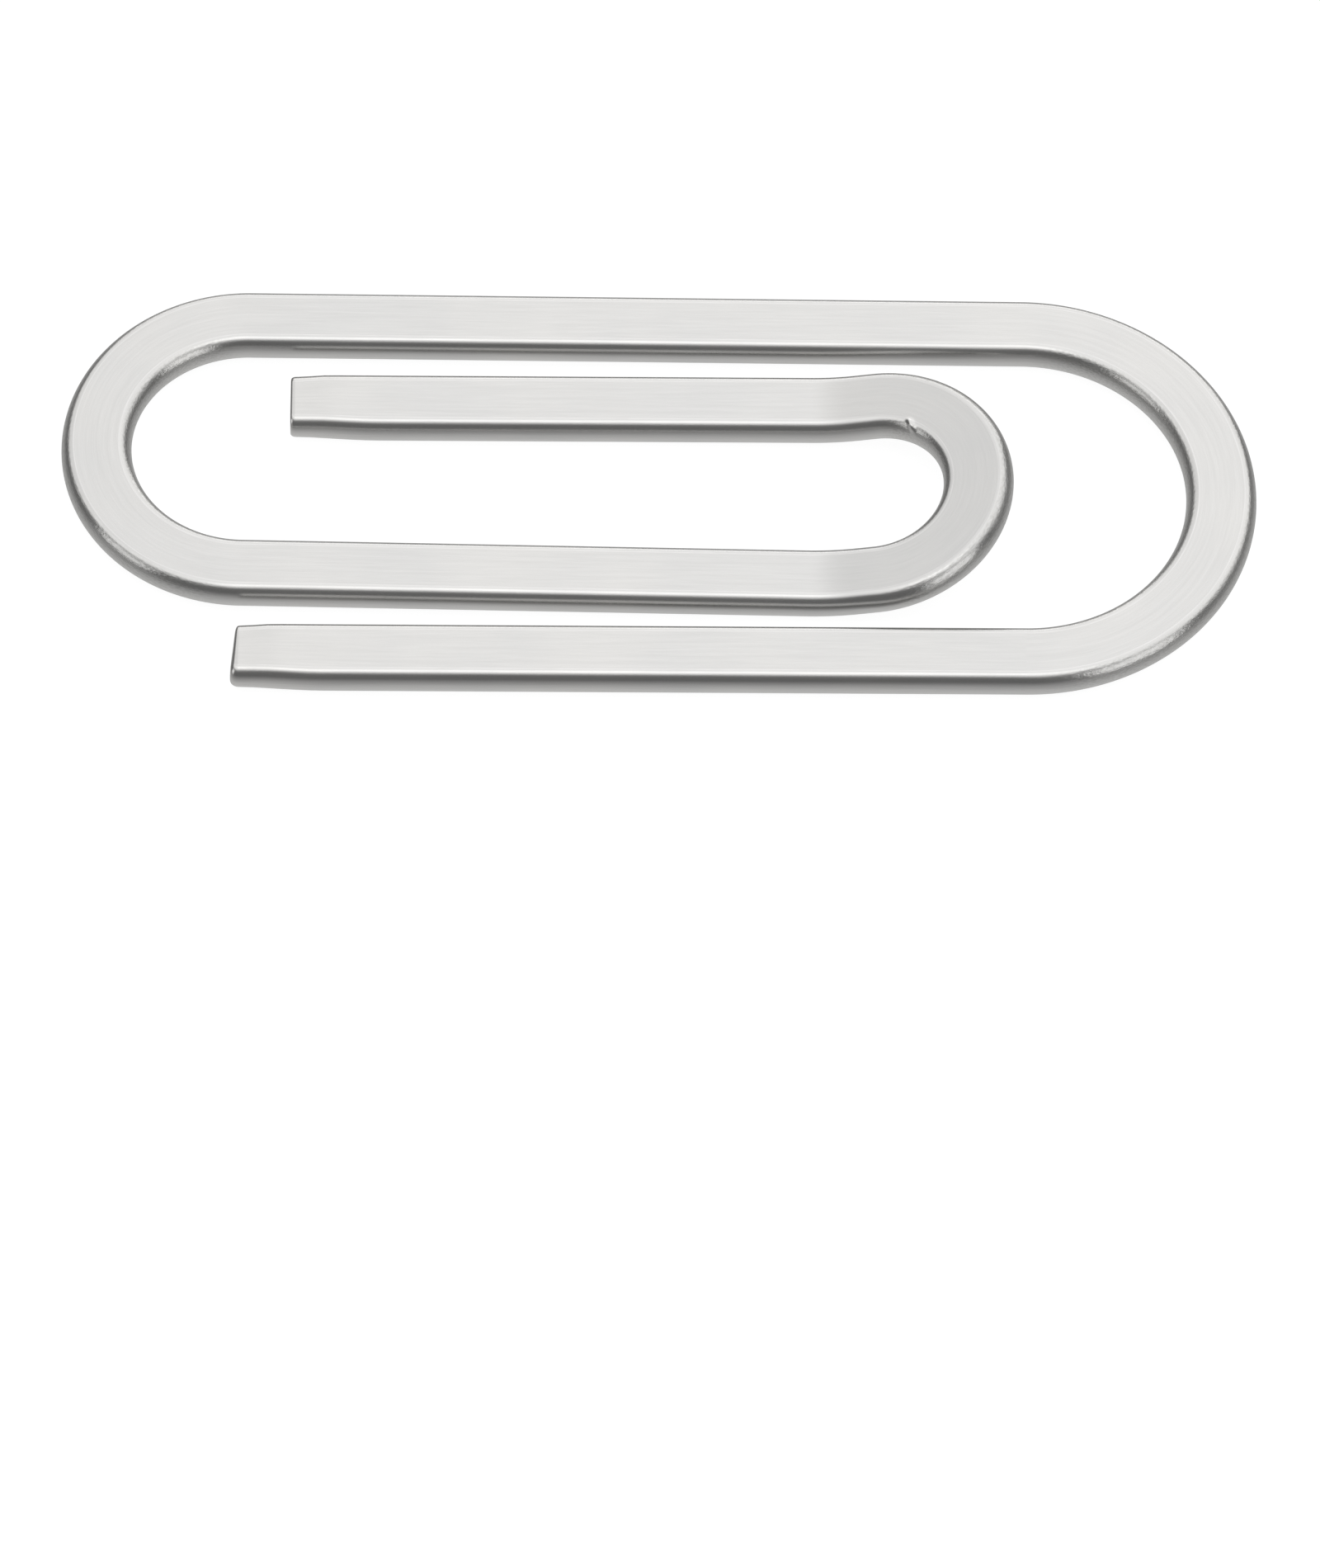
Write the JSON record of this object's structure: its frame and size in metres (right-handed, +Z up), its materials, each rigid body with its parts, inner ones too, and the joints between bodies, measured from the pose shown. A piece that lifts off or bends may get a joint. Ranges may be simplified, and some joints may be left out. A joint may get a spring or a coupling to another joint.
{
  "type": "money clip",
  "caption": "Flat spring clip bent from flattened steel bar into nested loops, with a raised lip, for holding folded banknotes.",
  "frame": {"origin": "centre of the clip's bounding box in X and Y, on the plane of its underside", "axes": "+X along the clip towards the wide outer bend, +Y across it towards the top bar, +Z up, the way the lip lifts"},
  "size_m": [0.06, 0.0236, 0.0034],
  "materials": {
    "brushed_steel": "fine satin brushed along the bar"
  },
  "bodies": {
    "outer_frame": {"top_bar": "brushed_steel", "return_bend": "brushed_steel", "outer_bend": "brushed_steel"},
    "tongue": {"inner_bar": "brushed_steel", "lip_bend": "brushed_steel"},
    "inner_leg": {"inner_leg": "brushed_steel"},
    "outer_leg": {"outer_leg": "brushed_steel"}
  },
  "joints": [
    {"name": "tongue_flex", "type": "hinge", "parent": "outer_frame", "child": "tongue", "pos_m": [-0.02069, 0.00251, 0.00085], "axis": [0, -1, 0], "range_deg": [0, 8], "stiffness_Nm_per_rad": 7.2, "deforming": ["return_bend"]},
    {"name": "outer_leg_flex", "type": "hinge", "parent": "outer_frame", "child": "outer_leg", "pos_m": [0.01831, 0.00013, 0.00085], "axis": [0, 1, 0], "range_deg": [0, 6], "stiffness_Nm_per_rad": 5.6, "deforming": ["outer_bend"]},
    {"name": "inner_leg_flex", "type": "hinge", "parent": "tongue", "child": "inner_leg", "pos_m": [0.01087, -0.00004, 0.00127], "axis": [0, 1, 0], "range_deg": [0, 5], "stiffness_Nm_per_rad": 9.3, "deforming": ["lip_bend"]}
  ]
}
